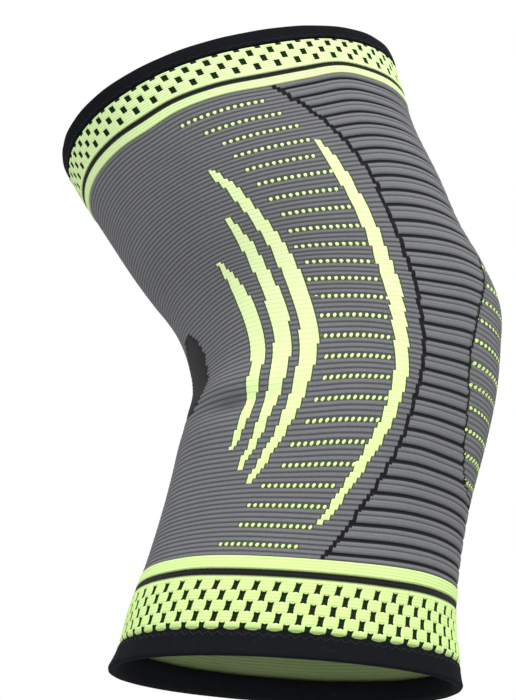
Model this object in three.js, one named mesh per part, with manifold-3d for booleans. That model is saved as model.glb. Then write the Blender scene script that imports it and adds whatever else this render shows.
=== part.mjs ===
import * as THREE from 'three';
import Module from 'manifold-3d';

// Knitted knee sleeve in its worn form, on a slightly bent knee, in millimetres.
// +X is the front of the knee and +Z is up. The origin is inside the leg hollow, at the knee.

// Heights of the knitted zones along the side of the leg, from the calf up to the thigh.
const lowerHemHeight = 10;
const lowerCuffHeight = 30;
const bodyHeight = 206;
const upperCuffHeight = 24;
const upperHemHeight = 10;

// Girths over the cloth, front to back and side to side.
const calf = { depth: 132, width: 116 };
const knee = { depth: 142, width: 128 };
const thigh = { depth: 160, width: 148 };

// Cloth thicknesses, and the clearance between neighbouring pieces.
const bodyWall = 2.2;
const cuffWall = 1.8;
const hemCloth = 0.8;
const meshWall = 1.5;
const meshSink = 0.4;
const gap = 0.3;

// Cross welts of the front half, the folds behind the knee, the roll of the lower hem and the
// length over which a cuff dips into its hem.
const weltCount = 34;
const weltDepth = 0.9;
const foldDepth = 2;
const hemFlare = 2.5;
const tuckLength = 2;

// Facets round the leg, along a cuff, up the inner wall, in a panel and round a hem's fold.
const facetsRound = 40;
const cuffSteps = 3;
const innerSteps = 10;
const panelRings = 4;
const panelEdgePoints = 36;
const bendSteps = 4;

// Cross sections are rounded boxes: 2 would be an ellipse.
const squareness = 2.15;

const bodyStart = lowerHemHeight + lowerCuffHeight;
const bodyEnd = bodyStart + bodyHeight;
const upperHemStart = bodyEnd + upperCuffHeight;
const sleeveHeight = upperHemStart + upperHemHeight;
const weltPitch = bodyHeight / weltCount;
const hemFold = cuffWall / 2 + hemCloth + gap;

// Sections from the lower rim (at 0) to the upper rim (at 1). Forward and up place the middle of
// the section, as shares of the sleeve's height. Lean tips its front up, in degrees. Depth and
// width are shares of the girth named beside them.
const sections = [
  { at: 0.00, forward: -0.100, up: -0.521, lean: -3.0, girth: calf, depth: 1.07, width: 1.07 },
  { at: 0.04, forward: -0.092, up: -0.482, lean: -3.5, girth: calf, depth: 1.06, width: 1.035 },
  { at: 0.09, forward: -0.088, up: -0.432, lean: -3.0, girth: calf, depth: 1.03, width: 1.01 },
  { at: 0.17, forward: -0.071, up: -0.358, lean: -2.5, girth: calf, depth: 1.00, width: 0.98 },
  { at: 0.27, forward: -0.046, up: -0.255, lean: -1.0, girth: calf, depth: 0.995, width: 1.01 },
  { at: 0.36, forward: -0.019, up: -0.154, lean: -0.5, girth: calf, depth: 1.02, width: 1.045 },
  { at: 0.44, forward: 0.001, up: -0.066, lean: -1.0, girth: knee, depth: 0.96, width: 0.97 },
  { at: 0.50, forward: 0.002, up: -0.001, lean: 1.0, girth: knee, depth: 1.00, width: 0.995 },
  { at: 0.56, forward: -0.006, up: 0.057, lean: 3.0, girth: knee, depth: 1.05, width: 1.02 },
  { at: 0.61, forward: -0.028, up: 0.104, lean: 6.5, girth: knee, depth: 1.05, width: 1.045 },
  { at: 0.66, forward: -0.058, up: 0.151, lean: 10.5, girth: thigh, depth: 0.92, width: 0.93 },
  { at: 0.73, forward: -0.091, up: 0.215, lean: 14.5, girth: thigh, depth: 0.935, width: 0.965 },
  { at: 0.82, forward: -0.131, up: 0.290, lean: 17.5, girth: thigh, depth: 0.95, width: 0.99 },
  { at: 0.91, forward: -0.164, up: 0.364, lean: 17.5, girth: thigh, depth: 1.00, width: 1.00 },
  { at: 1.00, forward: -0.189, up: 0.426, lean: 18.0, girth: thigh, depth: 1.04, width: 0.995 },
];

// Edge of the welted front on each side, in degrees from the front midline, at shares of the
// body's height.
const weltedFront = [
  { up: 0.00, angle: 95 },
  { up: 0.08, angle: 87 },
  { up: 0.20, angle: 77 },
  { up: 0.37, angle: 76 },
  { up: 0.57, angle: 80 },
  { up: 0.75, angle: 77 },
  { up: 0.88, angle: 83 },
  { up: 1.00, angle: 95 },
];

// Half outlines of the two panels, from the top down: share of the body's height and degrees
// from the panel's own midline.
const kneecapEdge = [
  { up: 0.632, angle: 0 },
  { up: 0.630, angle: 24 },
  { up: 0.612, angle: 40 },
  { up: 0.560, angle: 47 },
  { up: 0.490, angle: 52 },
  { up: 0.400, angle: 56 },
  { up: 0.310, angle: 51 },
  { up: 0.245, angle: 46 },
  { up: 0.195, angle: 38 },
  { up: 0.168, angle: 22 },
  { up: 0.158, angle: 0 },
];
const backMeshEdge = [
  { up: 0.510, angle: 0 },
  { up: 0.500, angle: 4 },
  { up: 0.470, angle: 10 },
  { up: 0.430, angle: 14 },
  { up: 0.385, angle: 16.5 },
  { up: 0.357, angle: 16.5 },
  { up: 0.343, angle: 12 },
  { up: 0.337, angle: 5 },
  { up: 0.336, angle: 0 },
];

// Soft folds on both sides of the hollow of the knee: middle as a share of the body's height and
// degrees from the front, half height as a share of it, half width in degrees, and rise as a
// share of the fold depth.
const folds = [
  { up: 0.315, turn: 146, tall: 0.022, wide: 24, rise: -0.9 },
  { up: 0.360, turn: 148, tall: 0.030, wide: 22, rise: 0.6 },
  { up: 0.265, turn: 140, tall: 0.030, wide: 26, rise: 0.35 },
];

const fullTurn = 360;
const backTurn = 180;

// Smooth curve through the rows of a table: each row's place, and its list of values.
function smoothTable(places, rows) {
  return new THREE.CubicInterpolant(places, rows.flat(), rows[0].length);
}

const sectionCurve = smoothTable(
  sections.map((row) => row.at),
  sections.map((row) => [
    row.forward * sleeveHeight,
    row.up * sleeveHeight,
    row.lean,
    row.depth * row.girth.depth,
    row.width * row.girth.width,
  ]),
);

const weltedAngle = smoothTable(
  weltedFront.map((row) => row.up),
  weltedFront.map((row) => [row.angle]),
);

// Degrees away from the front midline, between 0 and 180.
function degreesFromFront(turn) {
  return Math.abs(THREE.MathUtils.euclideanModulo(turn + backTurn, fullTurn) - backTurn);
}

// Smooth bump that is 1 in the middle and fades out at about twice the half size.
function bump(offset, halfSize) {
  return Math.exp(-((offset / halfSize) ** 2));
}

function foldRise(along, turn) {
  const up = (along - bodyStart) / bodyHeight;
  const side = degreesFromFront(turn);
  return folds.reduce(
    (sum, fold) =>
      sum + fold.rise * foldDepth * bump(up - fold.up, fold.tall) * bump(side - fold.turn, fold.wide),
    0,
  );
}

// The lower rim rolls outwards, the more the nearer it is.
function flareRise(along) {
  const share = THREE.MathUtils.clamp(1 - along / lowerHemHeight, 0, 1);
  return hemFlare * share ** 2;
}

// Signed power, for the superellipse.
function rounded(value) {
  return Math.sign(value) * Math.abs(value) ** (2 / squareness);
}

// Point of the cloth, from its height along the side, its turn in degrees from the front and its
// rise out of the sleeve's outer surface.
function clothPoint(along, turn, rise) {
  const [x, z, lean, depth, width] = sectionCurve.evaluate(along / sleeveHeight);
  const angle = THREE.MathUtils.degToRad(turn);
  const tip = THREE.MathUtils.degToRad(lean);
  const out = rise + foldRise(along, turn) + flareRise(along);
  const front = rounded(Math.cos(angle)) * (depth / 2 + out);
  const side = rounded(Math.sin(angle)) * (width / 2 + out);
  return new THREE.Vector3(x + front * Math.cos(tip), side, z + front * Math.sin(tip));
}

// How deep a cross welt's groove is here: full in the welted front, nothing behind it.
function grooveDepth(along, turn) {
  const [angle] = weltedAngle.evaluate((along - bodyStart) / bodyHeight);
  return degreesFromFront(turn) < angle ? weltDepth : 0;
}

function evenSteps(from, to, count) {
  return Array.from({ length: count + 1 }, (_, i) => THREE.MathUtils.lerp(from, to, i / count));
}

// Two triangles for each cell between a ring of points and the next.
function ringCells(ringCount, pointCount, closed) {
  const index = [];
  const last = closed ? ringCount : ringCount - 1;
  for (let i = 0; i < last; i += 1) {
    const here = i * pointCount;
    const next = ((i + 1) % ringCount) * pointCount;
    for (let j = 0; j < pointCount; j += 1) {
      const k = (j + 1) % pointCount;
      index.push(here + j, here + k, next + k, here + j, next + k, next + j);
    }
  }
  return index;
}

function geometryOf(points, index) {
  const geometry = new THREE.BufferGeometry().setFromPoints(points);
  geometry.setIndex(index);
  return geometry;
}

// Closed tube wall. Its profile goes up the outer side and down the inner side.
function bandGeometry(profile) {
  const turns = evenSteps(0, fullTurn, facetsRound).slice(0, facetsRound);
  const points = profile.flatMap((stop) =>
    turns.map((turn) => {
      const groove = stop.groove ? grooveDepth(stop.along, turn) : 0;
      return clothPoint(stop.along, turn, stop.rise - groove);
    }),
  );
  return geometryOf(points, ringCells(profile.length, facetsRound, true));
}

// Edge of a panel as a smooth closed curve, clockwise from its top, grown outwards by a clearance.
function panelEdge(halfEdge, midTurn, grow) {
  const degreeLength = (Math.PI * (knee.depth + knee.width)) / 2 / fullTurn;
  const corner = (row, side) =>
    new THREE.Vector3(side * row.angle * degreeLength, bodyStart + row.up * bodyHeight, 0);
  const inner = halfEdge.slice(1, -1);
  const corners = [
    ...halfEdge.map((row) => corner(row, 1)),
    ...inner.reverse().map((row) => corner(row, -1)),
  ];
  const middle = new THREE.Vector3(0, (corners[0].y + corner(halfEdge.at(-1), 1).y) / 2, 0);
  const curve = new THREE.CatmullRomCurve3(corners, true);
  const points = curve.getSpacedPoints(panelEdgePoints).slice(0, panelEdgePoints);
  return {
    middle,
    points: points.map((point) => point.add(point.clone().sub(middle).setLength(grow))),
    place: (point, rise) => clothPoint(point.y, midTurn + point.x / degreeLength, rise),
  };
}

// Closed patch of cloth inside a panel's edge, between two rises.
function patchGeometry(edge, innerRise, outerRise) {
  const shares = evenSteps(0, 1, panelRings).slice(1);
  const ring = (share, rise) =>
    edge.points.map((point) => edge.place(edge.middle.clone().lerp(point, share), rise));
  const rings = [
    ...shares.map((share) => ring(share, outerRise)),
    ...shares.toReversed().map((share) => ring(share, innerRise)),
  ];
  const ringPoints = rings.flat();
  const outerMiddle = ringPoints.length;
  const innerMiddle = outerMiddle + 1;
  const innerRing = outerMiddle - panelEdgePoints;
  const index = ringCells(rings.length, panelEdgePoints, false);
  for (let j = 0; j < panelEdgePoints; j += 1) {
    const k = (j + 1) % panelEdgePoints;
    index.push(outerMiddle, k, j, innerMiddle, innerRing + j, innerRing + k);
  }
  const middles = [edge.place(edge.middle, outerRise), edge.place(edge.middle, innerRise)];
  return geometryOf([...ringPoints, ...middles], index);
}

const wasm = await Module();
wasm.setup();

function solidOf(geometry) {
  return new wasm.Manifold(
    new wasm.Mesh({
      numProp: 3,
      vertProperties: new Float32Array(geometry.attributes.position.array),
      triVerts: new Uint32Array(geometry.index.array),
    }),
  );
}

function geometryFrom(solid) {
  const mesh = solid.getMesh();
  const geometry = new THREE.BufferGeometry();
  geometry.setAttribute('position', new THREE.BufferAttribute(mesh.vertProperties, mesh.numProp));
  geometry.setIndex(new THREE.BufferAttribute(mesh.triVerts, 1));
  return geometry;
}

// Body: a ring at the middle of each welt and one at the groove above it, then a plain inner wall.
function bodyTube() {
  const start = bodyStart + gap / 2;
  const end = bodyEnd - gap / 2;
  const outer = [{ along: start, rise: 0 }];
  for (let i = 0; i < weltCount; i += 1) {
    const welt = bodyStart + i * weltPitch;
    if (i > 0) {
      outer.push({ along: welt, rise: 0 });
    }
    outer.push({ along: welt + weltPitch / 2, rise: 0, groove: true });
  }
  outer.push({ along: end, rise: 0 });
  const inner = evenSteps(end, start, innerSteps).map((along) => ({ along, rise: -bodyWall }));
  return bandGeometry([...outer, ...inner]);
}

// A cutter for a panel's window goes well past both faces of the wall.
function windowCutter(halfEdge, midTurn) {
  const edge = panelEdge(halfEdge, midTurn, gap);
  return solidOf(patchGeometry(edge, -2 * bodyWall, bodyWall));
}

function knitBody() {
  const tube = solidOf(bodyTube());
  const withFront = tube.subtract(windowCutter(kneecapEdge, 0));
  return geometryFrom(withFront.subtract(windowCutter(backMeshEdge, backTurn)));
}

function kneecapPanel() {
  return patchGeometry(panelEdge(kneecapEdge, 0, 0), -bodyWall, 0);
}

function backMesh() {
  return patchGeometry(panelEdge(backMeshEdge, backTurn, 0), -meshSink - meshWall, -meshSink);
}

// A cuff runs from beside the body into its hem, squeezed between the two layers of the binding.
// Inward is the direction along the sleeve from the rim to the body, up (1) or down (-1).
function cuffGeometry(bodySide, hemEdge, rim) {
  const inward = Math.sign(hemEdge - rim);
  const tucked = -hemCloth - gap;
  const free = evenSteps(bodySide, hemEdge + inward * tuckLength, cuffSteps);
  const held = [hemEdge + inward * gap, rim + inward * (hemFold + gap)];
  const stops = [
    ...free.map((along) => ({ along, rise: 0 })),
    ...held.map((along) => ({ along, rise: tucked })),
  ];
  const lining = stops.toReversed().map((stop) => ({ ...stop, rise: stop.rise - cuffWall }));
  const profile = [...stops, ...lining];
  return bandGeometry(inward > 0 ? profile.toReversed() : profile);
}

// A hem is a binding folded over the rim: outer layer, round fold, inner layer and back inside.
function hemGeometry(hemEdge, rim) {
  const inward = Math.sign(hemEdge - rim);
  const foldLine = rim + inward * hemFold;
  const halfway = (hemEdge + foldLine) / 2;
  const bend = evenSteps(0, Math.PI, bendSteps).map((angle) => ({
    along: foldLine - inward * hemFold * Math.sin(angle),
    rise: hemFold * (Math.cos(angle) - 1),
  }));
  const profile = [
    { along: hemEdge, rise: 0 },
    { along: halfway, rise: 0 },
    ...bend,
    { along: halfway, rise: -2 * hemFold },
    { along: hemEdge, rise: -2 * hemFold },
    { along: hemEdge, rise: hemCloth - 2 * hemFold },
    { along: foldLine, rise: hemCloth - 2 * hemFold },
    { along: foldLine, rise: -hemCloth },
    { along: hemEdge, rise: -hemCloth },
  ];
  return bandGeometry(inward > 0 ? profile.toReversed() : profile);
}

// Colour and roughness of each cloth.
const greyKnit = { color: 0x74767a, roughness: 0.9 };
const kneecapKnit = { color: 0x6a6d6c, roughness: 0.9 };
const smoothKnit = { color: 0x38393a, roughness: 0.85 };
const limeKnit = { color: 0xc8f58a, roughness: 0.85 };
const blackBinding = { color: 0x22252b, roughness: 0.8 };

function makePiece(name, geometry, cloth) {
  geometry.computeVertexNormals();
  const mesh = new THREE.Mesh(geometry, new THREE.MeshStandardMaterial({ ...cloth, metalness: 0 }));
  mesh.name = name;
  return mesh;
}

const upperCuff = cuffGeometry(bodyEnd + gap / 2, upperHemStart, sleeveHeight);
const lowerCuff = cuffGeometry(bodyStart - gap / 2, lowerHemHeight, 0);

const sleeve = new THREE.Group();
sleeve.add(makePiece('knit_body', knitBody(), greyKnit));
sleeve.add(makePiece('kneecap_panel', kneecapPanel(), kneecapKnit));
sleeve.add(makePiece('back_mesh', backMesh(), smoothKnit));
sleeve.add(makePiece('upper_cuff', upperCuff, limeKnit));
sleeve.add(makePiece('lower_cuff', lowerCuff, limeKnit));
sleeve.add(makePiece('upper_hem', hemGeometry(upperHemStart, sleeveHeight), blackBinding));
sleeve.add(makePiece('lower_hem', hemGeometry(lowerHemHeight, 0), blackBinding));

export default sleeve;
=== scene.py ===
import math
import bpy
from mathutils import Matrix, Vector
import numpy as np


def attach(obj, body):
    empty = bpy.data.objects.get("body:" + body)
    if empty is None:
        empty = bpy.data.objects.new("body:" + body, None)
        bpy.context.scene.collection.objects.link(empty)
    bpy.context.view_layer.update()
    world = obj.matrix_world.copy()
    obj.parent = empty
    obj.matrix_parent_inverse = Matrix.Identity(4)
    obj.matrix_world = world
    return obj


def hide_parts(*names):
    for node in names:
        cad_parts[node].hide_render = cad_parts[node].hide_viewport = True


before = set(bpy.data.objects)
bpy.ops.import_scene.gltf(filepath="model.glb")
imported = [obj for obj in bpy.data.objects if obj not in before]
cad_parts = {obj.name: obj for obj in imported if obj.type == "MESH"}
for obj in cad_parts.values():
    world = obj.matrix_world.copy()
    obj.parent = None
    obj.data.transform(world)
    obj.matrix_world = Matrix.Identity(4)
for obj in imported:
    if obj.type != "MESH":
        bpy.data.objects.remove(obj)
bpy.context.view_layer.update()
scene = bpy.context.scene

# the worn sleeve, one surface that every cloth piece is laid on; lengths in metres
sleeve = {
    "height": 0.280,       # along the side, rim to rim
    "bodyStart": 0.040,
    "bodyHeight": 0.206,
    "ribs": 102,           # knitted ribs up the body
    "wales": 312,          # stitches from the front midline to the back one
    "weltRibs": 3,         # ribs in each cross welt of the front half
    "weltStart": 1.5,
    "squareness": 2.15,    # cross sections: 2 would be an ellipse
    "girthDepth": 70,      # half sizes of the section that shares out the girth, and its steps
    "girthWidth": 63,
    "girthSteps": 720,
    "hemHeight": 0.010,
    "hemFlare": 0.0025,
    "foldDepth": 0.002,
}

# cross sections from the lower rim to the upper one: share of the height, middle and sizes in mm, tilt in
# degrees
sections = {
    "at": [0, .04, .09, .17, .27, .36, .44, .50, .56, .61, .66, .73, .82, .91, 1],
    "forward": [-28, -25.8, -24.6, -19.9, -12.9, -5.3, .3, .6, -1.7, -7.8, -16.2, -25.5, -36.7,
                -45.9, -52.9],
    "up": [-145.9, -135, -121, -100.2, -71.4, -43.1, -18.5, -.3, 16, 29.1, 42.3, 60.2, 81.2, 101.9,
           119.3],
    "tilt": [-3, -3.5, -3, -2.5, -1, -.5, -1, 1, 3, 6.5, 10.5, 14.5, 17.5, 17.5, 18],
    "depth": [141.2, 139.9, 136, 132, 131.3, 134.6, 136.3, 142, 149.1, 149.1, 147.2, 149.6, 152,
              160, 166.4],
    "width": [124.1, 120.1, 117.2, 113.7, 117.2, 121.2, 124.2, 127.4, 130.6, 133.8, 137.6, 142.8,
              146.5, 148, 147.3],
}
# soft folds beside the smooth zone: share up the body, degrees from the front, half sizes and rise
folds = {
    "up": [.312, .352, .265],
    "turn": [145, 147, 140],
    "tall": [.019, .024, .030],
    "wide": [22, 22, 26],
    "rise": [-1.15, .80, .35],
}
# how far the ribs wander off level, in ribs: rows are heights, columns shares of the way round
drift = {
    "around": [.20, .30, .38, .46, .54, .62, .70, .77, .83, .90, 1],
    "rib": [-18, -8, 2, 10, 22, 34, 46, 58, 70, 88, 102, 109, 118],
    "rise": [
        [0, 0, 0, 0, 0, 0, 0, 0, 0, 0, 0],
        [.4, .3, 0, 0, 0, 0, .1, .4, .3, .2, 0],
        [.4, .5, .3, 0, -.1, 0, .3, .5, .5, .5, .3],
        [.4, .6, .6, .3, 0, 0, .2, .3, .3, .3, .3],
        [0, .1, .6, .5, .2, -.4, -.5, -.4, 0, .4, .6],
        [.1, .1, .2, .6, .4, -.3, -.6, -.4, -.3, -.2, 0],
        [.2, .3, -.1, 0, .3, .1, -.1, -.1, -1.3, -2.8, -3],
        [.2, .4, -.1, -.2, 0, .2, .1, 0, -1.3, -2.8, -3],
        [.4, .5, .4, 0, -.1, 0, 0, 0, -.5, -1.2, -1.5],
        [0, .5, .6, -.2, -.4, -.2, 0, -.1, -.1, 0, 0],
        [-1.2, -.4, .5, -.7, -1.1, -.4, -.2, -.8, -.5, -.3, 0],
        [-.6, -.2, .4, -.4, -.7, -.3, -.1, -.4, -.3, -.2, 0],
        [0, 0, 0, 0, 0, 0, 0, 0, 0, 0, 0],
    ],
}

# the knitted pattern: rib number up the body, and share of the way from the front to the back midline
frontEdge = {
    "rib": [0, 3.7, 7.6, 12, 16.4, 20.3, 24.8, 29.8, 34.8, 40.9, 46.4, 52, 57.6, 60.3, 65.9, 70.9,
            74.8, 79.2, 85.3, 90.9, 94.8, 97.6, 102],
    "around": [.525, .502, .483, .460, .440, .426, .416, .413, .410, .414, .421, .430, .439, .440,
               .433, .425, .420, .429, .445, .463, .486, .504, .530],
}
kneecapEdge = {
    "rib": [17, 17.5, 18.2, 19.6, 20.7, 23.2, 25.4, 27.9, 30.7, 35, 37.1, 39.3, 42.5, 45.4, 47.3,
            51, 53.2, 55.7, 57.1, 58.2, 60.7, 63, 64.4, 64.6],
    "around": [0, .142, .172, .201, .216, .234, .247, .259, .266, .276, .285, .290, .294, .290,
               .283, .272, .266, .258, .247, .239, .222, .211, .200, 0],
}
lensEdge = {
    "rib": [32.9, 33, 33.7, 34.7, 35.8, 38, 40.8, 45, 48.5, 51, 53, 54.9, 55],
    "around": [1, .955, .933, .910, .898, .893, .900, .913, .924, .936, .950, .968, 1],
}
# how far the stitch columns have leaned over at each rib, as a share of the way round; the scale and
# the lift put the shifts between 0 and 1 on a curve
lean = {
    "rib": [0, 20, 30, 36, 40, 52, 56, 60, 66, 70, 76, 102],
    "shift": [0, -.005, .001, .011, .021, .057, .063, .059, .044, .036, .034, .054],
    "scale": 5,
    "lift": 0.2,
}
# four lime crescents; leanShare is how much of the columns' lean their edges follow
crescents = [
    {
        "leanShare": 1,
        "rib": [7, 8, 10, 13, 15, 19, 23, 27, 31, 35, 39, 44, 50, 56, 60, 64, 68, 72, 78, 82, 84,
                86.2],
        "front": [.541, .531, .516, .506, .492, .475, .457, .446, .441, .439, .445, .454, .460,
                  .471, .475, .472, .466, .464, .471, .481, .487, .497],
        "back": [.550, .544, .535, .521, .513, .498, .483, .472, .469, .468, .473, .484, .491, .502,
                 .503, .500, .494, .490, .495, .500, .503, .503],
    },
    {
        "leanShare": .5,
        "rib": [15, 16, 18, 21, 25, 29, 33, 37, 41, 47, 53, 59, 65, 71, 75, 79, 81.5, 82.4, 84.2,
                84.6, 85.4],
        "front": [.699, .694, .684, .671, .654, .642, .635, .632, .631, .637, .647, .653, .656,
                  .661, .667, .676, .686, .690, .696, .702, .703],
        "back": [.711, .709, .702, .692, .675, .669, .665, .665, .667, .672, .680, .684, .683, .684,
                 .690, .696, .702, .709, .710, .710, .710],
    },
    {
        "leanShare": .5,
        "rib": [18, 20, 22, 25, 28, 31, 34, 37, 41, 47, 53, 59, 65, 70, 73],
        "front": [.727, .722, .713, .702, .696, .690, .686, .684, .685, .690, .698, .707, .708,
                  .713, .718],
        "back": [.739, .737, .729, .722, .718, .717, .716, .718, .721, .726, .732, .734, .733, .730,
                 .727],
    },
    {
        "leanShare": .5,
        "rib": [22.4, 25, 28, 31, 34, 37, 41, 46, 50, 54, 58, 61, 63.6],
        "front": [.757, .750, .742, .740, .739, .738, .741, .746, .752, .763, .773, .779, .787],
        "back": [.768, .766, .759, .761, .763, .764, .771, .778, .784, .790, .794, .794, .795],
    },
]
# the two ends of each row of lime dots on the sides
sideDots = {
    "rib": [98.4, 94.4, 90.4, 86.4, 82.4, 78.4, 74.4, 70.4, 66.4, 62.4, 58.4, 54.4, 50.4, 46.4,
            42.4, 38.4, 34.4, 30.4, 26.4, 22.4, 18.4, 14.4, 10.4, 6.4, 2.4],
    "back": [.708, .682, .662, .648, .647, .638, .634, .633, .633, .634, .634, .635, .626, .624,
             .618, .612, .611, .614, .619, .632, .647, .671, .690, .702, .725],
    "front": [.555, .539, .520, .511, .514, .500, .500, .500, .507, .511, .511, .507, .496, .494,
              .488, .480, .477, .475, .478, .492, .505, .530, .544, .555, .578],
}


def smoothCurve(places, values, where):
    # cubic between two rows of a table; the slope at a row is the mean of the slopes beside it
    places = np.array(places, float)
    values = np.array(values, float)
    slopes = np.diff(values) / np.diff(places)
    tangents = np.concatenate([slopes[:1], (slopes[1:] + slopes[:-1]) / 2, slopes[-1:]])
    cell = np.clip(np.searchsorted(places, where, side="right") - 1, 0, len(places) - 2)
    span = places[cell + 1] - places[cell]
    share = (where - places[cell]) / span
    rest = 1 - share
    ends = values[cell] * rest ** 2 * (1 + 2 * share) + values[cell + 1] * share ** 2 * (1 + 2 * rest)
    return ends + span * share * rest * (tangents[cell] * rest - tangents[cell + 1] * share)


def rounded(value):
    # signed power that squares the ellipse's corners a little
    return np.sign(value) * np.abs(value) ** (2 / sleeve["squareness"])


def turnAt(lap):
    # angle whose share of the half girth, from the front midline, is the lap; its sign is the side
    angles = np.linspace(0, math.pi, sleeve["girthSteps"] + 1)
    forward = sleeve["girthDepth"] * rounded(np.cos(angles))
    sideways = sleeve["girthWidth"] * rounded(np.sin(angles))
    steps = np.hypot(np.diff(forward), np.diff(sideways))
    shares = np.concatenate([[0], np.cumsum(steps)]) / steps.sum()
    return np.sign(lap) * np.interp(np.abs(lap), shares, angles)


def foldRise(along, turn):
    # sum of bumps, each exp(-(height offset / half height)^2) times the same for the angle
    up = (along - sleeve["bodyStart"]) / sleeve["bodyHeight"]
    side = np.degrees(np.abs(turn))
    total = 0
    for row in range(len(folds["up"])):
        tall = np.exp(-((up - folds["up"][row]) / folds["tall"][row]) ** 2)
        wide = np.exp(-((side - folds["turn"][row]) / folds["wide"][row]) ** 2)
        total = total + folds["rise"][row] * tall * wide
    return total * sleeve["foldDepth"]


def ribDrift(along, lap):
    # smooth blend of the drift table's columns, each worked out between its rows first
    total = 0
    around = np.clip(np.abs(lap), drift["around"][0], drift["around"][-1])
    for column in range(len(drift["around"])):
        heights = np.interp(ribAt(along), drift["rib"], [row[column] for row in drift["rise"]])
        share = smoothCurve(drift["around"], np.eye(len(drift["around"]))[column], around)
        total = total + heights * share
    return total * sleeve["bodyHeight"] / sleeve["ribs"]


def clothPoints(along, lap, rise):
    # middle of the section plus a squared ellipse grown by the rise, tipped by the section's tilt;
    # the table's millimetres become metres
    at = (along + ribDrift(along, lap)) / sleeve["height"]
    middleX, middleZ, tilt, depth, width = (
        smoothCurve(sections["at"], sections[column], at)
        for column in ("forward", "up", "tilt", "depth", "width")
    )
    turn = turnAt(lap)
    flare = sleeve["hemFlare"] * np.clip(1 - along / sleeve["hemHeight"], 0, 1) ** 2
    out = rise + foldRise(along, turn) + flare
    front = rounded(np.cos(turn)) * (depth / 2000 + out)
    side = rounded(np.sin(turn)) * (width / 2000 + out)
    tip = np.radians(tilt)
    shape = np.broadcast(along, lap, rise).shape
    x = middleX / 1000 + front * np.cos(tip)
    z = middleZ / 1000 + front * np.sin(tip)
    return np.stack([np.broadcast_to(part, shape) for part in (x, side, z)], axis=-1)


def ribAt(along):
    # rib number at a height along the side
    return (along - sleeve["bodyStart"]) * sleeve["ribs"] / sleeve["bodyHeight"]


def alongAt(rib):
    # height along the side at a rib number
    return sleeve["bodyStart"] + rib * sleeve["bodyHeight"] / sleeve["ribs"]


def laps(count):
    # evenly spaced columns, from the back midline all the way round
    return np.linspace(-1, 1, count, endpoint=False)


def marksOf(along, lap, lining):
    # what the materials read: share of the way round, rib number, and 1 on the inner face
    rib = ribAt(along)
    shape = np.broadcast(rib, lap).shape
    around = np.broadcast_to(np.abs(lap), shape)
    return np.stack([around, np.broadcast_to(rib, shape), np.full(shape, float(lining))], axis=-1)


def makePiece(name, points, marks, smoothFaces, flatFaces, material):
    # a mesh from whole arrays; vertices that no face uses are dropped
    groups = smoothFaces + flatFaces
    used, corners = np.unique(np.concatenate([faces.ravel() for faces in groups]), return_inverse=True)
    sizes = np.concatenate([np.full(len(faces), faces.shape[1]) for faces in groups])
    smooth = np.ones(len(sizes), bool)
    if flatFaces:
        smooth[sum(len(faces) for faces in smoothFaces):] = False
    mesh = bpy.data.meshes.new(name)
    mesh.vertices.add(len(used))
    mesh.vertices.foreach_set("co", points[used].astype(np.float32).ravel())
    mesh.loops.add(len(corners))
    mesh.loops.foreach_set("vertex_index", corners.ravel().astype(np.int32))
    mesh.polygons.add(len(sizes))
    starts = np.concatenate([[0], np.cumsum(sizes)[:-1]])
    mesh.polygons.foreach_set("loop_start", starts.astype(np.int32))
    mesh.polygons.foreach_set("use_smooth", smooth)
    mesh.update(calc_edges=True)
    knit = mesh.attributes.new("knit", "FLOAT_VECTOR", "POINT")
    knit.data.foreach_set("vector", marks[used].astype(np.float32).ravel())
    mesh.materials.append(material)
    piece = bpy.data.objects.new(name, mesh)
    scene.collection.objects.link(piece)
    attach(piece, "root")
    triangles = int((sizes - 2).sum())
    print(f"{name}: {triangles} triangles")
    return piece


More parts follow.
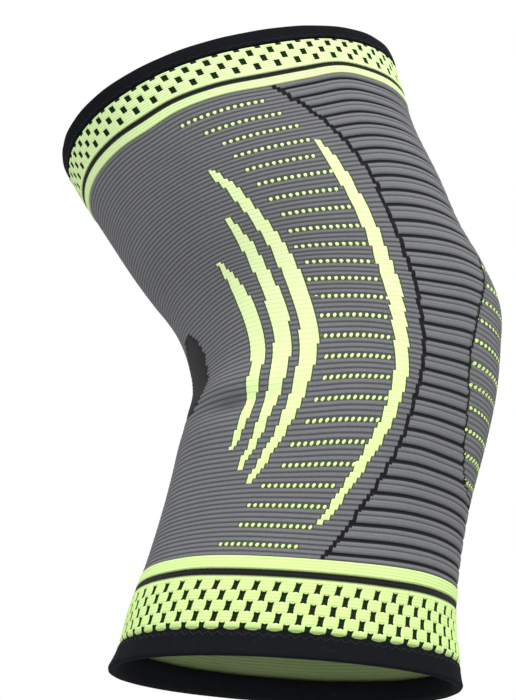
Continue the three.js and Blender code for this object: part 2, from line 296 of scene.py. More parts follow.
# one output socket of a material; arithmetic on it adds a Math node
class Wire:
    def __init__(self, tree, socket=None):
        self.tree = tree
        self.socket = socket

    def node(self, kind, settings, values, output=0):
        # settings first, then a value or a link for each socket
        made = self.tree.nodes.new(kind)
        for name, setting in settings.items():
            if name == "curve":
                layCurve(made.mapping, setting)
            else:
                setattr(made, name, setting)
        for name, value in values.items():
            if isinstance(value, Wire):
                self.tree.links.new(value.socket, made.inputs[name])
            else:
                made.inputs[name].default_value = value
        return Wire(self.tree, made.outputs[output])

    def maths(self, operation, *values):
        return self.node("ShaderNodeMath", {"operation": operation}, dict(enumerate(values)))

    def __add__(self, other):
        return self.maths("ADD", self, other)

    def __radd__(self, other):
        return self.maths("ADD", other, self)

    def __sub__(self, other):
        return self.maths("SUBTRACT", self, other)

    def __rsub__(self, other):
        return self.maths("SUBTRACT", other, self)

    def __mul__(self, other):
        return self.maths("MULTIPLY", self, other)

    def __rmul__(self, other):
        return self.maths("MULTIPLY", other, self)

    def __truediv__(self, other):
        return self.maths("DIVIDE", self, other)

    def __lt__(self, other):
        return self.maths("LESS_THAN", self, other)

    def __gt__(self, other):
        return self.maths("GREATER_THAN", self, other)

    def __abs__(self):
        return self.maths("ABSOLUTE", self)

    def floor(self):
        return self.maths("FLOOR", self)

    def fraction(self):
        return self.maths("FRACT", self)

    def most(self, other):
        return self.maths("MAXIMUM", self, other)

    def least(self, other):
        return self.maths("MINIMUM", self, other)

    def wave(self):
        # 0 at whole numbers and 1 halfway between them
        return 0.5 - 0.5 * self.maths("COSINE", self * (2 * math.pi))

    def fade(self, low, high):
        # 0 below low, 1 above high, smooth between
        values = {"Value": self, "From Min": low, "From Max": high}
        return self.node("ShaderNodeMapRange", {"interpolation_type": "SMOOTHSTEP"}, values)

    def table(self, places, values, scale=1.0, lift=0.0):
        # straight lines between the rows of a table by rib, laid on a Float Curve, where the scale
        # and the lift keep the values between 0 and 1
        ribs = sleeve["ribs"]
        points = [(place / ribs, value * scale + lift) for place, value in sorted(zip(places, values))]
        curve = self.node("ShaderNodeFloatCurve", {"curve": points}, {"Value": self / ribs})
        return (curve - lift) / scale

    def blend(self, first, second):
        # colours: first where this is 0 and second where it is 1
        return self.node("ShaderNodeMix", {"data_type": "RGBA"}, {0: self, 6: first, 7: second}, 2)


def layCurve(mapping, points):
    # straight lines through the points
    curve = mapping.curves[0]
    while len(curve.points) < len(points):
        curve.points.new(0.5, 0.5)
    for point, place in zip(curve.points, points):
        point.location = place
        point.handle_type = "VECTOR"
    mapping.update()


def newMaterial(name, constants):
    # a material whose even values sit on the shader's own sockets
    material = bpy.data.materials.new(name)
    material.use_nodes = True
    shader = material.node_tree.nodes["Principled BSDF"]
    for socket, value in constants.items():
        shader.inputs[socket].default_value = value
    return material, shader, Wire(material.node_tree)


def readMarks(wire):
    # share of the way round, rib number and lining, from the piece's own attribute
    knit = wire.node("ShaderNodeAttribute", {"attribute_name": "knit"}, {}, 1)
    return [wire.node("ShaderNodeSeparateXYZ", {}, {0: knit}, side) for side in range(3)]


def noise(wire, scale, detail):
    # noise on the piece's own coordinates
    place = wire.node("ShaderNodeTexCoord", {}, {}, 3)
    return wire.node("ShaderNodeTexNoise", {}, {"Vector": place, "Scale": scale, "Detail": detail})


def finish(wire, shader, colour, roughness, height, distance):
    # colour and roughness go straight to the shader, the height goes through a bump
    wire.tree.links.new(colour.socket, shader.inputs["Base Color"])
    wire.tree.links.new(roughness.socket, shader.inputs["Roughness"])
    bump = wire.node("ShaderNodeBump", {}, {"Strength": 1.0, "Distance": distance, "Height": height})
    wire.tree.links.new(bump.socket, shader.inputs["Normal"])


knitLook = {
    "rib": (0.178, 0.181, 0.192, 1),
    # painted shade: the grey in the rib dips, at the fine lines and towards the welt grooves
    "groove": (0.078, 0.080, 0.087, 1),
    "black": (0.013, 0.014, 0.013, 1),
    "weltGroove": (0.014, 0.015, 0.017, 1),
    "lime": (0.72, 0.92, 0.41, 1),
    # the lime's painted-light copy, for the upper ribs
    "limePaintedLight": (0.80, 0.90, 0.54, 1),
    # the lime's painted-shade copy: for the rib dips, between cuff threads and for most of the kneecap
    # dots
    "limePaintedShade": (0.55, 0.78, 0.24, 1),
    "dotShade": (0.070, 0.100, 0.048, 1),
    "slot": (0.010, 0.020, 0.006, 1),
    "lining": (0.12, 0.125, 0.13, 1),
    "lens": (0.030, 0.032, 0.032, 1),
    "cuffLining": (0.26, 0.34, 0.15, 1),
    "yarnNoise": 1400,
    "broadNoise": 45,
    "lensNoise": 1800,
    "bump": 0.00022,
    "lensBump": 0.00015,
    "mottle": 0.40,        # how far each noise takes the grey from its own shade
    "broadMottle": 0.14,
}
softCloth = {"Roughness": 0.9, "Specular IOR Level": 0.06, "Sheen Weight": 0.04, "Sheen Roughness": 0.5}

# how the pattern is knitted in: widths are shares of the way round, heights are ribs
pattern = {
    "columns": 180,                  # leaning columns that the stepped edges keep to
    "frontLine": (0.0042, 0.22),     # half width and half height of the black lines
    "kneecapLine": (0.0026, 0.20),
    "limeRim": 0.003,
    "limePaintedLightRibs": (18, 56),            # ribs between which painted light makes the lime paler and brighter
    # share of the lit lime in each zone; the rest is the painted-shade lime
    "limeShare": {"side": 1.0, "kneecap": 0.45},
    "kneecapDip": 0.35,
    "fineLine": 0.60,                # a welt's one fine line and black groove, as shares of the welt
    "fineLineFade": (0.02, 0.07),
    "grooveFade": (0.10, 0.20),
    "blackGroove": 0.115,
}
# painted shade in the crease beside the smooth zone
paintedCreaseShade = {"rib": 31.6, "tall": 2.6, "around": 0.80, "wide": 0.08, "depth": 0.7}
# rows of lime dots: pitch in ribs, dots round from midline to midline, and how narrow and flat a dot is
dots = {
    "side": {
        "first": 0.4, "pitch": 4, "half": 0.115, "above": 1, "below": 100,
        "round": 80, "slant": 0.12, "reach": 0.004, "narrow": 13, "flat": 6.5,
    },
    "kneecap": {
        "first": 64.625, "pitch": 4.25, "half": 0.11, "above": 18, "below": 64,
        "round": 56, "slant": 0.25, "slantFade": (0.02, 0.12), "narrow": 9, "flat": 6.5,
    },
}


def leanAt(rib, share):
    # a share of the columns' lean at a rib
    return rib.table(lean["rib"], lean["shift"], lean["scale"], lean["lift"]) * share


def steppedEdge(rib, edge, column, share):
    # the table's value for this whole rib, moved to the nearest leaning column
    row = rib.floor() + 0.5
    value = row.table(edge["rib"], edge[column])
    columns = pattern["columns"]
    return ((value - leanAt(row, share)) * columns + 0.5).floor() / columns + leanAt(rib, share)


def outline(around, rib, edge, sizes):
    # a dark thread along a stepped edge, looked up just above and below so that it also joins the steps
    wide, tall = sizes
    above = steppedEdge(rib + tall, edge, "around", 1)
    below = steppedEdge(rib - tall, edge, "around", 1)
    return (around < above.most(below) + wide) * (around > above.least(below) - wide)


def dotRows(rib, rows):
    # 1 inside a row of dots, and the height over the row's middle in ribs
    share = ((rib - rows["first"]) / rows["pitch"]).fraction() - 0.5
    inRow = (abs(share) < rows["half"]) * (rib > rows["above"]) * (rib < rows["below"])
    return inRow, share * rows["pitch"]


def dotShape(sideways, upright, rows):
    # 1 in an ellipse, where both offsets squared, each times its own factor, add up to less than 1
    return sideways * sideways * rows["narrow"] + upright * upright * rows["flat"] < 1


def sidePattern(around, rib):
    # lime between each crescent's edges with a thin dark rim, and slanting rows of dots on dark ground
    lime = 0
    rim = 0
    for crescent in crescents:
        front = steppedEdge(rib, crescent, "front", crescent["leanShare"])
        back = steppedEdge(rib, crescent, "back", crescent["leanShare"])
        back = back.most(front + 1 / pattern["columns"])
        within = (rib > crescent["rib"][0]) * (rib < crescent["rib"][-1])
        lime = (around > front) * (around < back) * within + lime
        front = front - pattern["limeRim"]
        back = back + pattern["limeRim"]
        rim = (around > front) * (around < back) * within + rim
    rows = dots["side"]
    inRow, upright = dotRows(rib, rows)
    slant = rib * rows["slant"]
    column = around * rows["round"] + slant
    middle = (column.floor() + 0.5 - slant) / rows["round"]
    back = rib.table(sideDots["rib"], sideDots["back"]) + rows["reach"]
    front = rib.table(sideDots["rib"], sideDots["front"]) - rows["reach"]
    inRow = inRow * (middle < back) * (middle > front)
    dot = inRow * dotShape(column.fraction() - 0.5, upright, rows)
    return (dot + lime).least(1.0), (rim + inRow).least(1.0)


def kneecapPattern(around, rib, inZone):
    # rows of dots that slant within their row, except close to the front midline
    rows = dots["kneecap"]
    inRow, upright = dotRows(rib, rows)
    inRow = inRow * inZone
    column = around * rows["round"] + upright * rows["slant"] * around.fade(*rows["slantFade"])
    return inRow * dotShape(column.fraction() - 0.5, upright, rows), inRow


def mottled(grain, spread):
    # the noise stretched to run from 1 - spread / 2 to 1 + spread / 2
    return 1 - spread / 2 + spread * grain


def knitMaterial(name, zone):
    # grey ribs and welts with painted shade in their dips, black lines, the zone's lime pattern with
    # painted light and shade, and a plain lining
    material, shader, wire = newMaterial(name, softCloth)
    around, rib, lining = readMarks(wire)
    fine = noise(wire, knitLook["yarnNoise"], 2)
    broad = noise(wire, knitLook["broadNoise"], 2)
    inKneecap = around < steppedEdge(rib, kneecapEdge, "around", 1)
    inFront = (around < steppedEdge(rib, frontEdge, "around", 1)) * (1 - inKneecap)

    # ordinary ribs dip at whole numbers, less in the kneecap; a welt has one groove and one fine line
    # dip and weltDip set how much painted groove shade the grey takes; the kneecap keeps at least
    # kneecapDip of the rib colour
    dip = (rib.wave() * 1.5).least(1.0).most(inKneecap * pattern["kneecapDip"])
    welt = ((rib - sleeve["weltStart"]) / sleeve["weltRibs"]).fraction()
    fromGroove = 0.5 - abs(welt - 0.5)
    fineLine = abs(welt - pattern["fineLine"]).fade(*pattern["fineLineFade"])
    weltDip = fineLine * fromGroove.fade(*pattern["grooveFade"])
    shade = wire.node("ShaderNodeMix", {"data_type": "FLOAT"}, {0: inFront, 2: dip, 3: weltDip})
    blackGroove = inFront * (fromGroove < pattern["blackGroove"])
    tint = mottled(fine, knitLook["mottle"]) * mottled(broad, knitLook["broadMottle"])
    # painted shade: the grey runs from the groove shade to the rib colour as the surface dips
    colour = shade.blend(knitLook["groove"], knitLook["rib"])
    colour = wire.node("ShaderNodeVectorMath", {"operation": "SCALE"}, {0: colour, "Scale": tint})
    colour = blackGroove.blend(colour, knitLook["weltGroove"])
    # painted shade: over the crease the grey is blended towards the groove shade, by depth at its middle
    nearRib = (1 - abs(rib - paintedCreaseShade["rib"]) / paintedCreaseShade["tall"]).fade(0, 1)
    nearSide = (1 - abs(around - paintedCreaseShade["around"]) / paintedCreaseShade["wide"]).fade(0, 1)
    colour = (nearRib * nearSide * paintedCreaseShade["depth"]).blend(colour, knitLook["groove"])

    kneecapLine = outline(around, rib, kneecapEdge, pattern["kneecapLine"])
    lines = outline(around, rib, frontEdge, pattern["frontLine"]).most(kneecapLine)
    colour = lines.blend(colour, knitLook["black"])
    if zone == "side":
        lit, shaded = sidePattern(around, rib)
    else:
        lit, shaded = kneecapPattern(around, rib, inKneecap * (1 - kneecapLine))
    colour = shaded.blend(colour, knitLook["dotShade"])
    # painted shade on the lime: darker in the rib dips, and mostly shaded in the kneecap
    full = (0.30 * dip + 0.20 * fine + 0.40).least(1.0) * pattern["limeShare"][zone]
    # painted light: the lime grows paler towards the top
    paintedLitLime = rib.fade(*pattern["limePaintedLightRibs"]).blend(knitLook["lime"], knitLook["limePaintedLight"])
    colour = lit.blend(colour, full.blend(knitLook["limePaintedShade"], paintedLitLime))
    colour = lining.blend(colour, knitLook["lining"])

    stitch = (around * sleeve["wales"]).wave()
    loops = stitch * (0.6 - 0.5 * lit) + fine * 0.35
    height = loops + lit * 0.5 - blackGroove * 0.6 + 0.3 * (rib * 2).wave()
    finish(wire, shader, colour, 0.82 + 0.12 * fine, height, knitLook["bump"])
    return material


def lensMaterial(name):
    # smooth fine mesh: small dark pores between the stitches
    material, shader, wire = newMaterial(name, softCloth)
    around, rib = readMarks(wire)[:2]
    fine = noise(wire, knitLook["lensNoise"], 2)
    pores = (around * sleeve["wales"]).wave() * (rib * 2).wave()
    colour = (pores * 0.7 + fine * 0.3).blend(knitLook["black"], knitLook["lens"])
    finish(wire, shader, colour, 0.78 + 0.15 * fine, pores + fine * 0.4, knitLook["lensBump"])
    return material


# body, kneecap panel and back mesh, cut from one knitted tube; widths are shares of the way round
body = {
    "columns": 190,
    "rowsPerRib": 4,
    "ribDepth": 0.00038,
    "wall": 0.0022,
    "lensSink": 0.0006,
    "lensInset": 0.0003,
    "lineSink": 0.0003,
    "lineWide": 0.004,
    "frontBlend": 0.008,
    "limeReach": 0.004,
    "limeFlat": 0.75,      # how much of a rib's dip the lime fills
    # ribs from a welt's start, and the rise there in mm
    "weltStop": [0, .25, .5, .75, 1, 1.5, 1.75, 2, 2.5, 2.75, 3],
    "weltRise": [-.95, -.8, -.35, -.1, 0, 0, -.22, 0, -.03, -.5, -.95],
}


def insideEdge(edge, rib, around):
    # nearer the front midline than the edge, at ribs that the edge spans
    limit = np.interp(rib, edge["rib"], edge["around"], left=0, right=0)
    return around < limit


def bodyRise(rib, around):
    # ribs dip at whole numbers, less under the lime; in the front every third rib ends in a deep groove
    ordinary = -body["ribDepth"] * (1 - np.sqrt(np.abs(np.sin(math.pi * rib))))
    weltRib = (rib - sleeve["weltStart"]) % sleeve["weltRibs"]
    welt = np.interp(weltRib, body["weltStop"], body["weltRise"]) / 1000
    edge = np.interp(rib, frontEdge["rib"], frontEdge["around"])
    inFront = np.clip((edge - around) / body["frontBlend"] + 0.5, 0, 1)
    inFront = inFront * ~insideEdge(kneecapEdge, rib, around)
    line = np.exp(-((around - edge) / body["lineWide"]) ** 2) * body["lineSink"]
    flat = 0
    for crescent in crescents:
        front = np.interp(rib, crescent["rib"], crescent["front"], left=2, right=2)
        back = np.interp(rib, crescent["rib"], crescent["back"], left=-2, right=-2)
        within = (around > front - body["limeReach"]) & (around < back + body["limeReach"])
        flat = np.maximum(flat, within)
    return ordinary * (1 - inFront) * (1 - body["limeFlat"] * flat) + welt * inFront - line


def ribShell(name, outer, inner, marksOut, marksIn, cells, material):
    # outer skin with several rows a rib, inner skin with one, and a wall along every edge of the cells
    rows, columns = cells.shape
    fine = body["rowsPerRib"]
    start = outer.shape[0] * columns

    def outerAt(row, column):
        return row * columns + column % columns

    def innerAt(row, column):
        return start + row * columns + column % columns

    def strip(*corners):
        # one face a row, from arrays of its corners
        return np.stack(corners, axis=1)

    i, j = np.nonzero(np.repeat(cells, fine, axis=0))
    skin = strip(outerAt(i, j), outerAt(i, j + 1), outerAt(i + 1, j + 1), outerAt(i + 1, j))
    i, j = np.nonzero(cells)
    back = strip(innerAt(i, j), innerAt(i + 1, j), innerAt(i + 1, j + 1), innerAt(i, j + 1))
    below = np.vstack([np.zeros((1, columns), bool), cells[:-1]])
    above = np.vstack([cells[1:], np.zeros((1, columns), bool)])
    i, j = np.nonzero(cells & ~below)
    foot = i * fine
    floors = strip(outerAt(foot, j), innerAt(i, j), innerAt(i, j + 1), outerAt(foot, j + 1))
    i, j = np.nonzero(cells & ~above)
    top = (i + 1) * fine
    roofs = strip(outerAt(top, j + 1), innerAt(i + 1, j + 1), innerAt(i + 1, j), outerAt(top, j))
    i, j = np.nonzero(cells & ~np.roll(cells, -1, axis=1))
    climb = [outerAt((i + 1) * fine - step, j + 1) for step in range(fine + 1)]
    nextWalls = strip(innerAt(i, j + 1), innerAt(i + 1, j + 1), *climb)
    i, j = np.nonzero(cells & ~np.roll(cells, 1, axis=1))
    climb = [outerAt(i * fine + step, j) for step in range(fine + 1)]
    lastWalls = strip(*climb, innerAt(i + 1, j), innerAt(i, j))
    points = np.concatenate([outer.reshape(-1, 3), inner.reshape(-1, 3)])
    marks = np.concatenate([marksOut.reshape(-1, 3), marksIn.reshape(-1, 3)])
    flats = [faces for faces in (floors, roofs, nextWalls, lastWalls) if len(faces)]
    return makePiece(name, points, marks, [skin, back], flats, material)


lap = laps(body["columns"])[None, :]
fineRib = (np.arange(sleeve["ribs"] * body["rowsPerRib"] + 1) / body["rowsPerRib"])[:, None]
coarseRib = np.arange(sleeve["ribs"] + 1.0)[:, None]
cellRib = coarseRib[:-1] + 0.5
cellAround = np.abs(laps(body["columns"]) + 1 / body["columns"])[None, :]
kneecapCells = insideEdge(kneecapEdge, cellRib, cellAround)
lensCells = cellAround > np.interp(cellRib, lensEdge["rib"], lensEdge["around"], left=2, right=2)

outerSkin = clothPoints(alongAt(fineRib), lap, bodyRise(fineRib, np.abs(lap)))
innerSkin = clothPoints(alongAt(coarseRib), lap, np.full((1, 1), -body["wall"]))
fineMarks = marksOf(alongAt(fineRib), lap, 0)
coarseMarks = marksOf(alongAt(coarseRib), lap, 1)
knitBody = ribShell("knitBody", outerSkin, innerSkin, fineMarks, coarseMarks,
                    ~(kneecapCells | lensCells), knitMaterial("greyRibKnit", "side"))
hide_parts("knit_body")
kneecap = ribShell("kneecapPanel", outerSkin, innerSkin, fineMarks, coarseMarks,
                   kneecapCells, knitMaterial("kneecapKnit", "kneecap"))
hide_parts("kneecap_panel")

lensSkin = clothPoints(alongAt(fineRib), lap, np.full((1, 1), -body["lensSink"]))
lensBack = clothPoints(alongAt(coarseRib), lap, np.full((1, 1), -body["wall"] + body["lensInset"]))
backMesh = ribShell("backMesh", lensSkin, lensBack, fineMarks, coarseMarks,
                    lensCells, lensMaterial("smoothMeshKnit"))
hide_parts("back_mesh")

# cuffs: a lime stripe, a black stripe, then lime bricks with black slots between them
cuffs = {
    "columns": 624,
    "evenRows": 58,
    "evenTo": 0.0016,      # the last even row and the rows after it, from the binding's edge
    "hemStops": [0.0010, 0.0004, 0, -0.0076],
    "innerStep": 8,        # rows of the outer face to one of the inner face
    "wall": 0.0018,
    "tuck": 0.0011,
    "tuckRun": 0.0014,
    "puff": 0.00030,
    "slotDepth": 0.00040,
    "bandDepth": 0.0002,
    "threadDepth": 0.00008,
    "threadsPerRib": 1.5,
    "bricksRound": 26,     # bricks from the front midline to the back one
    "swayFront": (0.02, 0.2),
    "swayBack": (0.02, 0.3),
    "teeth": 0.34,
    "scallop": 0.35,
    "bump": 0.00025,
}
# slotWide is half a slot's width as a share of the brick's pitch, slotTall half its height in ribs,
# pinch how much its waist narrows, lean how far the columns of slots lean over for each rib
lowerCuff = {
    "slotWide": 0.150,
    "slotTall": 0.98,
    "pinch": 0.16,
    "lean": .0019,
    "band": [-4.4, -2.7],
    "rows": [-6.3, -8.35, -10.4, -12.45, -14.5],
    "firstShift": 0.0,
    "hemRib": -14.85,
    # a deeper lime than the upper cuff's: painted shade on the lower cuff
    "lime": (0.67, 0.90, 0.36, 1),
}
upperCuff = {
    "slotWide": 0.140,
    "slotTall": 0.93,
    "pinch": 0.0,
    "lean": -.0006,
    "band": [104, 105.3],
    "rows": [107.4, 109.5, 111.6, 113.6],
    "firstShift": 0.5,
    "hemRib": 113.9,
    # a paler lime than the lower cuff's: painted light on the upper cuff
    "lime": (0.73, 0.91, 0.49, 1),
}


def smoothShare(value, low, high):
    # 0 below low, 1 above high, and 3 share^2 - 2 share^3 between
    share = np.clip((value - low) / (high - low), 0, 1)
    return share * share * (3 - 2 * share)


def slotShare(rib, around, cuff):
    # 1 in the middle of a black slot, fading out at its edges; slots lean, except near the midlines
    total = 0
    sway = smoothShare(around, *cuffs["swayFront"]) * smoothShare(1 - around, *cuffs["swayBack"])
    leaning = around + cuff["lean"] * sway * (rib - cuff["rows"][0])
    for number, row in enumerate(cuff["rows"]):
        shift = cuff["firstShift"] + 0.5 * number
        sideways = np.abs((leaning * cuffs["bricksRound"] + shift) % 1 - 0.5) / cuff["slotWide"]
        upright = np.abs(rib - row) / cuff["slotTall"]
        total = np.maximum(total, np.clip(1.6 - 1.2 * np.maximum(sideways, upright), 0, 1))
    return total


def cuffRise(rib, around, cuff):
    # bricks swell between the slots, the black stripe sinks and the cross threads stay faint
    slots = slotShare(rib, around, cuff)
    inBand = (rib > cuff["band"][0]) & (rib < cuff["band"][1])
    swell = cuffs["puff"] * (1 - slots) - cuffs["slotDepth"] * slots
    threads = -cuffs["threadDepth"] * (1 - np.abs(np.sin(math.pi * rib * cuffs["threadsPerRib"])))
    return swell + threads - cuffs["bandDepth"] * inBand


def cuffMaterial(name, cuff):
    # lime threads with painted shade between them, black slots with narrow waists, a toothed stripe and a
    # scalloped edge by the binding
    material, shader, wire = newMaterial(name, softCloth)
    around, rib, lining = readMarks(wire)
    fine = noise(wire, knitLook["yarnNoise"], 2)
    stitch = (around * sleeve["wales"]).wave()
    teeth = cuffs["teeth"] * (stitch - 0.5)
    band = (rib + teeth > cuff["band"][0]) * (rib - teeth < cuff["band"][1])
    sway = around.fade(*cuffs["swayFront"]) * (1 - around).fade(*cuffs["swayBack"])
    bricks = (around + (rib - cuff["rows"][0]) * cuff["lean"] * sway) * cuffs["bricksRound"]
    black = 0
    for number, row in enumerate(cuff["rows"]):
        shift = cuff["firstShift"] + 0.5 * number
        sideways = abs((bricks + shift).fraction() - 0.5)
        upright = abs(rib - row) / cuff["slotTall"]
        waist = cuff["slotWide"] * (1 + cuff["pinch"] * (upright * upright - 0.8))
        horn = 1 + cuff["pinch"] * (sideways / cuff["slotWide"] - 0.7)
        black = (sideways < waist) * (upright < horn) + black
    black = black.least(1.0)
    past = (rib - cuff["hemRib"]) * math.copysign(1, cuff["hemRib"])
    scallop = cuffs["scallop"] * (bricks + 0.5 * len(cuff["rows"]) + cuff["firstShift"]).wave()
    edge = (past + cuffs["scallop"] > scallop).most(band)
    threads = (rib * cuffs["threadsPerRib"]).wave()
    # painted shade: the lime darkens between the cross threads and between the stitch columns
    shade = (0.25 + 0.45 * threads + 0.25 * fine + 0.25 * stitch).least(1.0)
    colour = shade.blend(knitLook["limePaintedShade"], cuff["lime"])
    colour = edge.blend(black.blend(colour, knitLook["slot"]), knitLook["black"])
    colour = lining.blend(colour, knitLook["cuffLining"])
    height = threads * 0.6 + stitch * 0.4 + fine * 0.3 - black.most(edge) * 0.8
    finish(wire, shader, colour, 0.80 + 0.12 * fine, height, cuffs["bump"])
    return material


def makeBand(name, points, marks, wallRows, material):
    # quads between each row and the next, the last joined to the first; wall rows stay flat
    rows, columns = points.shape[:2]
    i, j = np.meshgrid(np.arange(rows), np.arange(columns), indexing="ij")
    up = (i + 1) % rows
    side = (j + 1) % columns
    corners = [i * columns + j, i * columns + side, up * columns + side, up * columns + j]
    quads = np.stack(corners, axis=-1)
    flat = np.isin(np.arange(rows), wallRows)
    smooth = [quads[~flat].reshape(-1, 4)]
    walls = [quads[flat].reshape(-1, 4)] if flat.any() else []
    return makePiece(name, points.reshape(-1, 3), marks.reshape(-1, 3), smooth, walls, material)


def makeCuff(name, cuff, bodySide, hemEdge, node, material):
    # a tube wall whose hem end dips between the two layers of the binding
    inward = np.sign(bodySide - hemEdge)
    outerAlong = np.concatenate([
        np.linspace(bodySide, hemEdge + inward * cuffs["evenTo"], cuffs["evenRows"]),
        hemEdge + inward * np.array(cuffs["hemStops"]),
    ])
    run = cuffs["tuckRun"]
    drop = cuffs["tuck"] * np.clip((inward * (hemEdge - outerAlong) + run) / run, 0, 1)
    innerAlong = np.append(outerAlong[::-cuffs["innerStep"]], outerAlong[0])
    innerDrop = np.append(drop[::-cuffs["innerStep"]], drop[0])[:, None]
    lap = laps(cuffs["columns"])[None, :]
    free = (drop == 0)[:, None]
    puffed = cuffRise(ribAt(outerAlong)[:, None], np.abs(lap), cuff)
    outer = clothPoints(outerAlong[:, None], lap, np.where(free, puffed, 0) - drop[:, None])
    inner = clothPoints(innerAlong[:, None], lap, -cuffs["wall"] - innerDrop)
    points = np.concatenate([outer, inner])
    marks = np.concatenate([marksOf(outerAlong[:, None], lap, 0), marksOf(innerAlong[:, None], lap, 1)])
    wallRows = [len(outerAlong) - 1, len(points) - 1]
    if inward > 0:
        points = points[::-1]
        marks = marks[::-1]
        wallRows = [len(innerAlong) - 1, len(points) - 1]
    piece = makeBand(name, points, marks, wallRows, material)
    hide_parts(node)


bodyEnd = sleeve["bodyStart"] + sleeve["bodyHeight"]
makeCuff("lowerCuff", lowerCuff, sleeve["bodyStart"], sleeve["hemHeight"], "lower_cuff",
         cuffMaterial("lowerCuffKnit", lowerCuff))
makeCuff("upperCuff", upperCuff, bodyEnd, sleeve["height"] - sleeve["hemHeight"], "upper_cuff",
         cuffMaterial("upperCuffKnit", upperCuff))

# hems: a binding folded over each rim
hem = {
    "columns": 390,
    "layerStops": 12,
    "foldStops": 12,
    "cloth": 0.0008,
    "fold": 0.0020,        # half of the folded thickness
    "swell": 0.0002,
    "edgeRound": 0.00025,
    "ripple": 0.00012,
    "rippleWaves": (61, 23),
    "rippleShift": 1.0,
    "stitches": 468,       # from the front midline to the back one
    "rowsPerRib": 4,
    "yarnNoise": 1600,
    "lintNoise": 420,
    "bump": 0.00016,
    "colour": (0.0055, 0.0062, 0.0078, 1),
    "lint": (0.0115, 0.0130, 0.0165, 1),
}


def hemProfile():
    # up the outer layer, over its edge, down inside it, up inside the inner layer, then round the fold
    edge = sleeve["hemHeight"]
    fold = hem["fold"]
    cloth = hem["cloth"]
    soft = hem["edgeRound"]
    stops = hem["layerStops"]
    up = np.linspace(fold, edge - soft, stops)
    layer = [(up[k], hem["swell"] * math.sin(math.pi * k / (stops - 1))) for k in range(stops)]
    lip = [(edge, -soft), (edge, soft - cloth), (edge - soft, -cloth)]
    slit = [(fold, -cloth), (fold, cloth - 2 * fold)]
    back = [(edge - soft, cloth - 2 * fold), (edge, cloth - soft - 2 * fold), (edge, soft - 2 * fold)]
    inside = [(edge - soft, -2 * fold), ((edge + fold) / 2, -2 * fold)]
    turns = np.linspace(math.pi, 0, hem["foldStops"] + 1)[:-1]
    bend = [(fold - fold * math.sin(a), fold * (math.cos(a) - 1)) for a in turns]
    return np.array(layer + lip + slit + back + inside + bend)


def hemMaterial(name):
    # near-black knit with small stitches and specks of lint
    material, shader, wire = newMaterial(name, {"Specular IOR Level": 0.03})
    around, rib = readMarks(wire)[:2]
    fine = noise(wire, hem["yarnNoise"], 3)
    specks = noise(wire, hem["lintNoise"], 1).fade(0.62, 0.72)
    rows = (rib * hem["rowsPerRib"]).wave() * (around * hem["stitches"]).wave()
    colour = (0.4 * fine + 0.35 * rows + 0.4 * specks).blend(hem["colour"], hem["lint"])
    finish(wire, shader, colour, 0.72 + 0.2 * fine, rows * 0.6 + fine * 0.5, hem["bump"])
    return material


def makeHem(name, rim, node, material):
    # the profile swept round the rim with a faint ripple, turned over for the upper rim
    along, rise = hemProfile().T
    if rim > 0:
        along = rim - along[::-1]
        rise = rise[::-1]
    lap = laps(hem["columns"])[None, :]
    short, long = hem["rippleWaves"]
    ripple = hem["ripple"] * np.sin(lap * short) * np.sin(lap * long + hem["rippleShift"])
    points = clothPoints(along[:, None], lap, rise[:, None] + ripple)
    piece = makeBand(name, points, marksOf(along[:, None], lap, 0), [], material)
    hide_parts(node)


bindingCloth = hemMaterial("blackBinding")
makeHem("lowerHem", 0, "lower_hem", bindingCloth)
makeHem("upperHem", sleeve["height"], "upper_hem", bindingCloth)

# seams: a zigzag thread along each binding's edge
seam = {
    "zigzags": 110,
    "pointsEach": 8,
    "inset": 0.0016,
    "swing": 0.0007,
    "lift": 0.0001,
    "seat": 0.6,           # share of the binding's swell that the thread lies at
    "radius": 0.00011,
    "sides": 5,
    "twistNoise": 2500,
    "bump": 0.00005,
    "thread": (0.060, 0.066, 0.080, 1),
}


def seamMaterial(name):
    # dark twisted thread
    material, shader, wire = newMaterial(name, {"Specular IOR Level": 0.15})
    twist = noise(wire, seam["twistNoise"], 1)
    colour = twist.blend(hem["colour"], seam["thread"])
    finish(wire, shader, colour, 0.55 + 0.2 * twist, twist, seam["bump"])
    return material


def makeSeam(name, along, material):
    # a thread tube: a triangle wave along the hem, with a small ring of points round each stop
    count = seam["zigzags"] * seam["pointsEach"]
    lap = laps(count)[None, :]
    phase = (np.arange(count) / seam["pointsEach"] % 1)[None, :]
    swing = seam["swing"] * (4 * np.abs(phase - 0.5) - 1)
    lift = seam["lift"] * np.abs(np.sin(2 * math.pi * phase))
    angles = np.linspace(0, 2 * math.pi, seam["sides"], endpoint=False)[:, None]
    ringAlong = along + swing + seam["radius"] * np.cos(angles)
    ringRise = hem["swell"] * seam["seat"] + lift + seam["radius"] * np.sin(angles)
    points = clothPoints(ringAlong, lap, ringRise)[::-1]
    makeBand(name, points, marksOf(ringAlong, lap, 0)[::-1], [], material)


seamThread = seamMaterial("seamThread")
makeSeam("lowerSeam", sleeve["hemHeight"] - seam["inset"], seamThread)
makeSeam("upperSeam", sleeve["height"] - sleeve["hemHeight"] + seam["inset"], seamThread)
print("cloth pieces made")

# studio: a pale floor, two soft lights and a low camera
studio = {
    "floorDrop": -0.45,
    "floorSize": 40.0,
    "floorNoise": 30,
    "floor": (0.62, 0.62, 0.61, 1),
    "floorGrain": (0.58, 0.58, 0.57, 1),
    "sky": (1, 1, 1, 1),
    "skyStrength": 1.0,
    "azimuth": -12.0,
    "elevation": -21.77,
    "distance": 0.5794,
    "target": (-0.039, 0, 0),
    "lens": 66.22,
    "sensor": 36,
    "clipStart": 0.01,
}
keyLight = {
    "place": (0.25, -0.95, 0.95),
    "aim": (0, 0, 0.05),
    "size": 0.6,
    "power": 12,
    "colour": (1, 0.99, 0.97),
}
fillLight = {
    "place": (-0.95, -0.7, 0.45),
    "aim": (-0.03, 0, 0),
    "size": 0.8,
    "power": 3.2,
    "colour": (0.97, 0.98, 1),
}


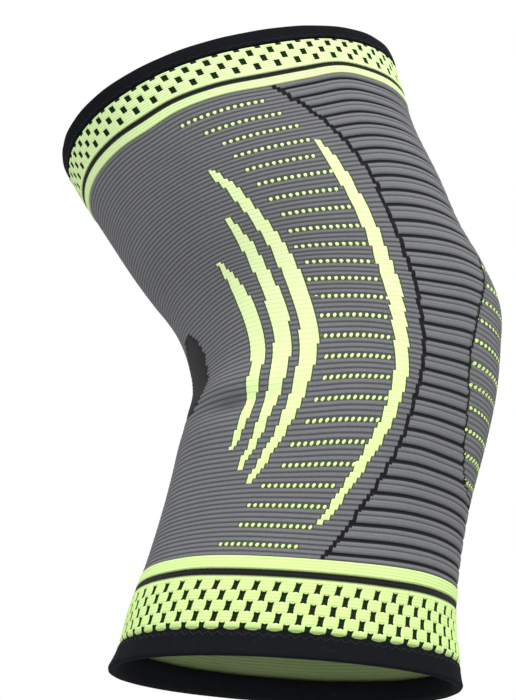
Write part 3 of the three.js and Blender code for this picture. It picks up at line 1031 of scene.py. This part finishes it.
def makeFloor():
    # one wide square with a faint grain
    half = studio["floorSize"] / 2
    mesh = bpy.data.meshes.new("floor")
    corners = [(-half, -half), (half, -half), (half, half), (-half, half)]
    mesh.from_pydata([(x, y, studio["floorDrop"]) for x, y in corners], [], [(0, 1, 2, 3)])
    material, shader, wire = newMaterial("paleFloor", {"Roughness": 0.8})
    colour = noise(wire, studio["floorNoise"], 2).blend(studio["floor"], studio["floorGrain"])
    wire.tree.links.new(colour.socket, shader.inputs["Base Color"])
    mesh.materials.append(material)
    floor = bpy.data.objects.new("floor", mesh)
    scene.collection.objects.link(floor)


def makeSky():
    # even white light from all sides
    world = bpy.data.worlds.new("whiteStudio")
    world.use_nodes = True
    background = world.node_tree.nodes["Background"]
    background.inputs["Color"].default_value = studio["sky"]
    background.inputs["Strength"].default_value = studio["skyStrength"]
    scene.world = world


def makeLight(name, values):
    # a soft round light turned towards its aim
    data = bpy.data.lights.new(name, "AREA")
    data.shape = "DISK"
    data.size = values["size"]
    data.energy = values["power"]
    data.color = values["colour"]
    light = bpy.data.objects.new(name, data)
    place = Vector(values["place"])
    light.location = place
    light.rotation_euler = (Vector(values["aim"]) - place).to_track_quat("-Z", "Y").to_euler()
    scene.collection.objects.link(light)


def makeCamera():
    # out from the target along a ray of the given azimuth and elevation, and looking back along it
    azimuth = math.radians(studio["azimuth"])
    elevation = math.radians(studio["elevation"])
    level = math.cos(elevation)
    ray = Vector((math.sin(azimuth) * level, -math.cos(azimuth) * level, math.sin(elevation)))
    data = bpy.data.cameras.new("camera")
    data.sensor_fit = "VERTICAL"
    data.sensor_height = studio["sensor"]
    data.lens = studio["lens"]
    data.clip_start = studio["clipStart"]
    camera = bpy.data.objects.new("camera", data)
    camera.location = Vector(studio["target"]) + ray * studio["distance"]
    camera.rotation_euler = (-ray).to_track_quat("-Z", "Y").to_euler()
    scene.collection.objects.link(camera)
    scene.camera = camera


makeFloor()
makeSky()
makeLight("keyLight", keyLight)
makeLight("fillLight", fillLight)
makeCamera()
scene.view_settings.view_transform = "Standard"
print("studio and camera set")
